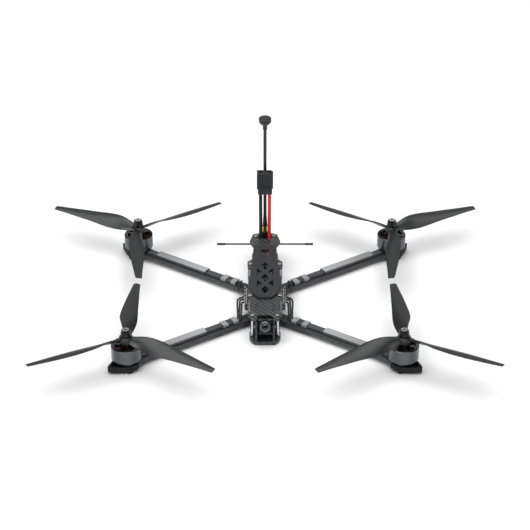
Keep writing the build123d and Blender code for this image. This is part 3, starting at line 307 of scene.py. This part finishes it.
def moulded(name, colour, lighter, roughness, spark, **sockets):
    """Injection-moulded plastic: a spark-eroded surface of fine lumps, and slow flow marks in its gloss."""
    material, tree, shader = new_finish(name, colour, roughness, **sockets)
    lumps = grain(tree, spark, 2.0)
    flow = grain(tree, 0.018, 2.0)
    dress(
        tree,
        shader,
        blend_colours(tree, flow, colour, lighter),
        spread(tree, flow, roughness - 0.06, roughness + 0.08),
        lumps,
        0.00003,
        0.45,
    )
    return material


# Propellers: glass-filled nylon, satin black, whose twisted faces catch long soft highlights.
prop_nylon = moulded("propeller_glass_nylon", "#111214", "#1a1b1d", 0.36, 0.0009, Specular_IOR_Level=0.62)
# Camera shell, antenna and printed mounts: black ABS with a spark-eroded grain.
black_abs = moulded("camera_black_abs", "#0a0b0c", "#121314", 0.44, 0.0008)
antenna_abs = moulded("antenna_black_abs", "#0a0b0c", "#111214", 0.34, 0.0012, Specular_IOR_Level=0.55)
printed_pla = moulded("mount_printed_black", "#0d0e0f", "#161718", 0.52, 0.0010)
# Connector: glass-filled nylon, dull dark grey; its cap is a shade lighter.
shell_nylon = moulded("connector_nylon", "#18191b", "#202123", 0.50, 0.0009)
cap_nylon = moulded("connector_cap_nylon", "#26272a", "#2f3033", 0.52, 0.0009)
plug_nylon = moulded("plug_natural_nylon", "#d9d6c8", "#eeebdf", 0.42, 0.0008)
chip_epoxy = moulded("chip_black_epoxy", "#0f1011", "#1a1b1d", 0.46, 0.0006)
# Cables: extruded silicone rubber, soft and slightly dusty.
wire_silicone = moulded("motor_wire_silicone", "#0f1011", "#1d1e20", 0.46, 0.0014, Specular_IOR_Level=0.55)
lead_black = moulded("lead_black_silicone", "#101112", "#1c1d1f", 0.42, 0.0014)
lead_red = moulded("lead_red_silicone", "#d8271c", "#ee3a2c", 0.40, 0.0014)
# Capacitor: printed shrink sleeve, dark blue-black with a gloss.
cap_sleeve = moulded("capacitor_shrink_sleeve", "#15161c", "#1e2029", 0.28, 0.0016)
# Soft grommets and foam: black rubber.
grommet_rubber = moulded("grommet_rubber", "#17181a", "#242527", 0.68, 0.0010)

# Covers over the wires: rolled polycarbonate channel, gloss black; its top face is painted light grey as a painted
# reflection of the lights above, dimmed by painted shade towards the motor.
cover_gloss, tree, shader = new_finish("cover_polycarbonate", "#0d0e10", 0.22, Coat_Weight=0.4, Coat_Roughness=0.1)
along, across, _ = arm_axes(tree)
top = add(tree, "Math", {0: 1.0, 1: upright(tree)}, operation="SUBTRACT").outputs[0]
cover_start, cover_end = 0.090, 0.168
# Painted shade: the painted reflection on the level top faces dims to 0.62 of its strength towards the motor.
painted_shade_towards_motor = add(tree, "MapRange", {"Value": along, "From Min": cover_start, "From Max": cover_end,
                                       "To Min": 1.0, "To Max": 0.62}).outputs[0]
# Painted reflection: level top faces blend from gloss black to light grey.
painted_top_reflection = add(tree, "Math", {0: top, 1: painted_shade_towards_motor}, operation="MULTIPLY").outputs[0]
brush = grain(tree, 0.0012, 2.0)
painted_top_reflection = add(tree, "Math", {0: painted_top_reflection, 1: spread(tree, brush, 0.86, 1.06)}, operation="MULTIPLY", use_clamp=True).outputs[0]
dress(tree, shader, blend_colours(tree, painted_top_reflection, "#0e0f11", "#a9abae"), spread(tree, painted_top_reflection, 0.20, 0.42), brush, 0.00002, 0.3)

# Sleeves: braided polyester, bundles of light and black threads that cross, drawn 1.5 mm wide to show; the light
# threads darken towards their sides as painted shade.
braid, tree, shader = new_finish("braided_polyester", "#111214", 0.62, Sheen_Weight=0.25)
along, across, z = arm_axes(tree)
first = add(tree, "Math", {0: along, 1: across}, operation="ADD").outputs[0]
second = add(tree, "Math", {0: along, 1: across}, operation="SUBTRACT").outputs[0]
over, strand = twill(tree, first, second, 0.0015)
# Painted shade: the light threads darken towards their sides, following their rounded height.
bright = add(tree, "Math", {0: over, 1: strand}, operation="MULTIPLY").outputs[0]
bright = add(tree, "Math", {0: bright, 1: 2.0}, operation="POWER").outputs[0]
dress(tree, shader, blend_colours(tree, bright, "#08090a", "#6c6e72"), None, strand, 0.0002, 0.8)

# Bands: woven cloth tape, plain weave drawn 0.8 mm apart, grey and a little grubby; each thread darkens towards its
# sides as painted shade.
tape_cloth, tree, shader = new_finish("band_cloth_tape", "#97989b", 0.78, Sheen_Weight=0.2)
along, across, z = arm_axes(tree)
over, strand = twill(tree, along, across, 0.0008)
grubby = grain(tree, 0.005)
# Painted shade: each thread darkens towards its sides, following its rounded height; the grubby noise is uneven
# dirt.
share = add(tree, "Math", {0: strand, 1: grubby}, operation="MULTIPLY").outputs[0]
dress(tree, shader, blend_colours(tree, share, "#7b7c7f", "#bcbdc0"), None, strand, 0.00012, 0.6)

# Shrink tube: polyolefin shrunk over the wires, dark grey, smooth, with slow ripples.
shrink, tree, shader = new_finish("shrink_polyolefin", "#2b2c2e", 0.40)
ripple = grain(tree, 0.0035, 1.0)
dress(tree, shader, blend_colours(tree, ripple, "#242527", "#3a3b3e"), spread(tree, ripple, 0.34, 0.50), ripple, 0.0002, 0.6)


def circuit(name, mask_colour, trace_colour, roughness):
    """Printed circuit board: gloss solder mask over copper traces, drawn as thin lines that turn at right angles."""
    material, tree, shader = new_finish(name, mask_colour, roughness, Coat_Weight=0.3, Coat_Roughness=0.15)
    place = add(tree, "TexCoord").outputs["Object"]
    cells = add(tree, "TexBrick", {"Vector": place, "Scale": 180.0, "Mortar Size": 0.07, "Color1": (0, 0, 0, 1),
                                   "Color2": (0, 0, 0, 1), "Mortar": (1, 1, 1, 1)}).outputs["Color"]
    line = add(tree, "RGBToBW", {0: cells}).outputs[0]
    patches = grain(tree, 0.007, 1.0)
    shown = add(tree, "Math", {0: patches, 1: 0.5}, operation="GREATER_THAN").outputs[0]
    share = add(tree, "Math", {0: line, 1: shown}, operation="MULTIPLY").outputs[0]
    dress(tree, shader, blend_colours(tree, share, mask_colour, trace_colour), None, share, 0.00003, 0.5)
    return material


# Boards: glass epoxy under a black solder mask.
board_black = circuit("board_black_mask", "#0d1011", "#1d2624", 0.32)
# Tinned pads, bus strips and spreader: solder-dipped copper, silvery and uneven.
tinned = turned_metal("tinned_copper", "#c9c9c6", "#a9a9a5", 0.30, 1.0, 0.0014)

# Lens glass: coated, near black, with a painted green-gold glint standing in for the coating's reflection where the
# glass turns away from the view.
lens_glass, tree, shader = new_finish("coated_lens_glass", "#050606", 0.06, Coat_Weight=1.0, Coat_Roughness=0.03)
rim = add(tree, "LayerWeight", {"Blend": 0.35}).outputs["Facing"]
rings = grain(tree, 0.004, 1.0)
# Painted reflection: the green-gold glint follows the facing angle to the view, broken up by noise.
painted_coating_glint = add(tree, "Math", {0: rim, 1: rings}, operation="MULTIPLY").outputs[0]
dress(tree, shader, blend_colours(tree, painted_coating_glint, "#020303", "#3c6b3a"), None)

# Floor: matt white studio paper.
paper, tree, shader = new_finish("studio_paper", "#fbfbfb", 0.9, Specular_IOR_Level=0.1)
fleck = grain(tree, 0.02)
dress(tree, shader, blend_colours(tree, fleck, "#fafafa", "#fdfdfd"))


# ---------------------------------------------------------------- surfaces
def ring_faces(rows, columns):
    """Quads of a grid of points whose rows are rings: each row's last point joins its first."""
    i = np.arange(rows - 1)[:, None]
    j = np.arange(columns)[None, :]
    next_i, next_j = i + 1, (j + 1) % columns
    quads = [i * columns + j, next_i * columns + j, next_i * columns + next_j, i * columns + next_j]
    return np.stack([q + 0 * (i + j) for q in quads], axis=-1).reshape(-1, 4)


def finish_piece(mesh, name, material, body, replaced=()):
    """Puts a mesh in the scene as a piece with its finish and its body, and hides the nodes it stands for."""
    piece = bpy.data.objects.new(name, mesh)
    bpy.context.scene.collection.objects.link(piece)
    mesh.materials.append(material)
    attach(piece, body)
    if replaced:
        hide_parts(*replaced)
    return piece


def rounded_mesh(name, vertices, faces, sharp=35):
    """A mesh with its doubles merged, outward faces, and edges sharper than that many degrees left crisp."""
    mesh = bpy.data.meshes.new(name)
    mesh.from_pydata(vertices.tolist(), [], faces.tolist())
    shape = bmesh.new()
    shape.from_mesh(mesh)
    bmesh.ops.remove_doubles(shape, verts=shape.verts, dist=2e-6)
    bmesh.ops.dissolve_degenerate(shape, edges=shape.edges, dist=1e-7)
    bmesh.ops.recalc_face_normals(shape, faces=shape.faces)
    shape.to_mesh(mesh)
    shape.free()
    mesh.shade_smooth()
    mesh.set_sharp_from_angle(angle=radians(sharp))
    return mesh


def many_surfaces(name, points, material, body):
    """Several stacks of rings in one mesh: points has the shape (copies, rows, columns, 3)."""
    copies, rows, columns, _ = points.shape
    faces = ring_faces(rows, columns)
    faces = (faces[None] + (np.arange(copies) * rows * columns)[:, None, None]).reshape(-1, 4)
    mesh = rounded_mesh(name, points.reshape(-1, 3), faces)
    return finish_piece(mesh, name, material, body)


def pillows(name, centres, halves, power, material, body):
    """Superellipsoids: each coordinate is the half size times the sine or cosine, raised to a power.
    A power near 0.3 gives a rounded block, 1 a ball or a bead of solder."""
    up = np.linspace(-pi / 2, pi / 2, 11)[:, None]
    round_ = np.linspace(0, 2 * pi, 25)[None, :-1]

    def swell(value):
        return np.sign(value) * np.abs(value) ** power

    x = swell(np.cos(up)) * swell(np.cos(round_))
    y = swell(np.cos(up)) * swell(np.sin(round_))
    z = swell(np.sin(up)) + 0 * round_
    unit = np.stack([x, y, z], axis=-1)
    points = unit[None] * np.array(halves, float).reshape(-1, 1, 1, 3)
    points = points + np.array(centres, float).reshape(-1, 1, 1, 3)
    return many_surfaces(name, points, material, body)


def portion(node, name, material, body, wanted):
    """A copy of the triangles of a solid part whose middles are wanted, with its doubles merged."""
    mesh = nodes[node].data
    places = np.zeros(len(mesh.vertices) * 3, np.float32)
    mesh.vertices.foreach_get("co", places)
    places = places.reshape(-1, 3).astype(float)
    corner_numbers = np.zeros(len(mesh.loops), np.int32)
    mesh.loops.foreach_get("vertex_index", corner_numbers)
    triangles = corner_numbers.reshape(-1, 3)
    middles = places[triangles].mean(axis=1)
    chosen = triangles[wanted(*middles.T)]
    used, renumbered = np.unique(chosen, return_inverse=True)
    copied = rounded_mesh(name, places[used], renumbered.reshape(-1, 3), 30)
    return finish_piece(copied, name, material, body, (node,))


# ---------------------------------------------------------------- finishes of the solid parts
solid_finish = {
    "bottom_plate": plate_carbon, "mid_plate": plate_carbon, "top_plate": plate_carbon, "battery_pad": pad_rubber,
    "arm_end_guards": guard_tpu, "motor_bases": bell_anodised, "motor_bearings": ground_steel,
    "motor_stators": lamination, "motor_windings": copper, "motor_screws": zinc_steel,
    "standoffs": pillar_aluminium, "frame_screws": zinc_steel, "camera_side_plates": plate_carbon,
    "camera_body": black_abs, "camera_screws": zinc_steel, "video_transmitter": case_anodised,
    "antenna_mount": printed_pla, "video_antenna_socket": gold_plate, "video_antenna_stem": antenna_abs,
    "video_antenna_cap": antenna_abs, "receiver_antenna": antenna_abs, "motor_wires": wire_silicone,
    "wire_sleeves": braid, "wire_covers": cover_gloss, "connector_housing": shell_nylon,
    "connector_cap": cap_nylon, "connector_contacts": gold_plate,
}
for corner in corners:
    solid_finish["arm_" + corner] = arm_carbon
    solid_finish["bell_" + corner] = bell_anodised
    solid_finish["magnets_" + corner] = nickel
    solid_finish["shaft_" + corner] = ground_steel
    solid_finish["propeller_" + corner] = prop_nylon
for node, material in solid_finish.items():
    mesh = nodes[node].data
    mesh.materials.clear()
    mesh.materials.append(material)

# Parts of one node with several finishes are copied out, each with its own.
def off_motor(corner, x, y):
    """Distance from that corner's motor axis."""
    side = -1 if "left" in corner else 1
    end = -1 if "front" in corner else 1
    return np.hypot(x - side * motor_x, y - end * motor_y)


def nut_ring(corner, x, y, z):
    """The bright insert: inside the pocket's wall, above its floor."""
    wall, floor = 0.00412, 0.05199
    return (off_motor(corner, x, y) < wall) & (z > floor)


for corner in corners:
    node, rotor = "prop_nut_" + corner, "rotor_" + corner

    def bright(x, y, z, corner=corner):
        return nut_ring(corner, x, y, z)

    def dark(x, y, z, corner=corner):
        return ~nut_ring(corner, x, y, z)

    portion(node, "nut_insert_" + corner, bright_ring, rotor, bright)
    portion(node, "nut_body_" + corner, nut_anodised, rotor, dark)


def along_arm(x, y):
    """Distance along the nearest arm from its root."""
    return np.abs(x) * cos(arm_turn) + (np.abs(y) - arm_root_y) * sin(arm_turn)


shrink_span = (0.05003, 0.05797)
portion("wire_bands", "band_tapes", tape_cloth, "airframe",
        lambda x, y, z: (along_arm(x, y) < shrink_span[0]) | (along_arm(x, y) > shrink_span[1]))
portion("wire_bands", "band_shrink_tubes", shrink, "airframe",
        lambda x, y, z: (along_arm(x, y) >= shrink_span[0]) & (along_arm(x, y) <= shrink_span[1]))

tall_part = esc_top + 0.00002
portion("esc_board", "controller_board", board_black, "airframe",
        lambda x, y, z: z < tall_part)
portion("esc_board", "controller_bus_strips", tinned, "airframe",
        lambda x, y, z: (z >= tall_part) & ((np.abs(x) > 0.0223) | (z > esc_top + 0.00135)))
portion("esc_board", "controller_transistors", chip_epoxy, "airframe",
        lambda x, y, z: (z >= tall_part) & (np.abs(x) <= 0.0223) & (z <= esc_top + 0.00135))
portion("flight_controller", "flight_board", board_black, "airframe",
        lambda x, y, z: z < fc_top + 0.00002)
portion("flight_controller", "flight_chips", chip_epoxy, "airframe",
        lambda x, y, z: (z >= fc_top + 0.00002) & ~((np.abs(x) < 0.0041) & (y > 0.012)))
portion("flight_controller", "flight_plug", plug_nylon, "airframe",
        lambda x, y, z: (z >= fc_top + 0.00002) & (np.abs(x) < 0.0041) & (y > 0.012))
portion("receiver", "receiver_board", board_black, "airframe",
        lambda x, y, z: z < 0.00581)
portion("receiver", "receiver_shield", tinned, "airframe",
        lambda x, y, z: z >= 0.00581)
portion("capacitor", "capacitor_can", cap_sleeve, "airframe",
        lambda x, y, z: x < 0.01002)
portion("capacitor", "capacitor_legs", tinned, "airframe",
        lambda x, y, z: x >= 0.01002)
stack_half = 0.01525


def off_bolt(x, y):
    """Distance from the nearest of the four stack bolts."""
    return np.hypot(np.abs(x) - stack_half, np.abs(y) - stack_half)


portion("stack_mounts", "stack_grommets", grommet_rubber, "airframe",
        lambda x, y, z: (off_bolt(x, y) > 0.00152) & (z > 0.0114))
portion("stack_mounts", "stack_bolts", zinc_steel, "airframe",
        lambda x, y, z: (off_bolt(x, y) <= 0.00152) | (z <= 0.0114))

# Camera axes: forward out of the lens, and up out of the camera's top.
camera_out = Vector((0, -cos(camera_rest_tilt), sin(camera_rest_tilt)))
camera_up = Vector((0, sin(camera_rest_tilt), cos(camera_rest_tilt)))


def lens_axes(x, y, z):
    """Distance out along the lens axis, and away from it."""
    out = (y - camera_pivot.y) * camera_out.y + (z - camera_pivot.z) * camera_out.z
    up = (y - camera_pivot.y) * camera_up.y + (z - camera_pivot.z) * camera_up.z
    return out, np.hypot(x, up)


def is_glass(x, y, z):
    """The disc of glass inside the barrel's cup."""
    out, away = lens_axes(x, y, z)
    return (away < 0.00386) & (out > 0.01201)


portion("camera_lens", "lens_barrel", lens_anodised, "camera", lambda x, y, z: ~is_glass(x, y, z))
portion("camera_lens", "lens_plain_glass", lens_glass, "camera", is_glass)


# ---------------------------------------------------------------- battery leads
lead_width = 0.0045
lead_pitch = 0.00575
lead_points = (
    (0.0, 28.7, 18.15), (1.2, 52.0, 17.35), (0.6, 76.0, 17.25), (0.0, 96.5, 17.05), (0.0, 113.0, 15.95),
    (0.0, 122.0, 21.65), (0.0, 123.2, 36.05), (-0.2, 123.3, 56.15), (0.0, 123.5, 77.225), (0.0, 123.5, 98.3),
)


def lead(name, side, material, node):
    """A battery lead: a smooth curve through the frame and up to the connector, a round wire carried along it."""
    curve = bpy.data.curves.new(name, "CURVE")
    curve.dimensions = "3D"
    curve.bevel_depth = lead_width / 2
    curve.bevel_resolution = 6
    curve.resolution_u = 16
    curve.use_fill_caps = True
    line = curve.splines.new("NURBS")
    line.points.add(len(lead_points) - 1)
    for point, (sideways, y, z) in zip(line.points, lead_points):
        point.co = (side * (lead_pitch + sideways * mm), y * mm, z * mm, 1.0)
    line.order_u = 3
    line.use_endpoint_u = True
    curve.materials.append(material)
    wire = bpy.data.objects.new(name, curve)
    bpy.context.scene.collection.objects.link(wire)
    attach(wire, "airframe")
    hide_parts(node)
    return wire


lead("lead_black", -1, lead_black, "battery_lead_black")
lead("lead_red", 1, lead_red, "battery_lead_red")


# ---------------------------------------------------------------- pieces added for looks
# Lens: a dome of coated glass in the barrel's mouth.
dome_radius, dome_rise, dome_seat = 0.0037, 0.0011, 0.01268
share = np.linspace(0, 1, 15)[:, None]
turn = np.linspace(0, 2 * pi, 41)[None, :-1]
away = dome_radius * share
out = dome_seat + dome_rise * (1 - share**2) + 0 * turn
x = away * np.cos(turn)
up = away * np.sin(turn)
dome = np.stack(
    [
        x,
        camera_pivot.y + out * camera_out.y + up * camera_up.y,
        camera_pivot.z + out * camera_out.z + up * camera_up.z,
    ],
    axis=-1,
)
many_surfaces("lens_dome", dome[None], lens_glass, "camera")

# Solder: a bead between each pad and its motor wire.
pad_rows = (23.0, 15.6, 8.2, -1.5, -7.6, -13.6)
beads = [(side * 0.0251, y * mm, esc_top + 0.0006) for side in (-1, 1) for y in pad_rows]
bead_halves = [(0.0013, 0.0011, 0.0010)] * len(beads)
pillows("solder_beads", beads, bead_halves, 1.0, tinned, "airframe")

floor_mesh = bpy.data.meshes.new("studio_floor")
half_floor = 6.0
floor_z = cad_box[0][2]
floor_mesh.from_pydata([(-half_floor, -half_floor, floor_z), (half_floor, -half_floor, floor_z),
                        (half_floor, half_floor, floor_z), (-half_floor, half_floor, floor_z)], [], [(0, 1, 2, 3)])
floor_mesh.materials.append(paper)
floor = bpy.data.objects.new("studio_floor", floor_mesh)
bpy.context.scene.collection.objects.link(floor)
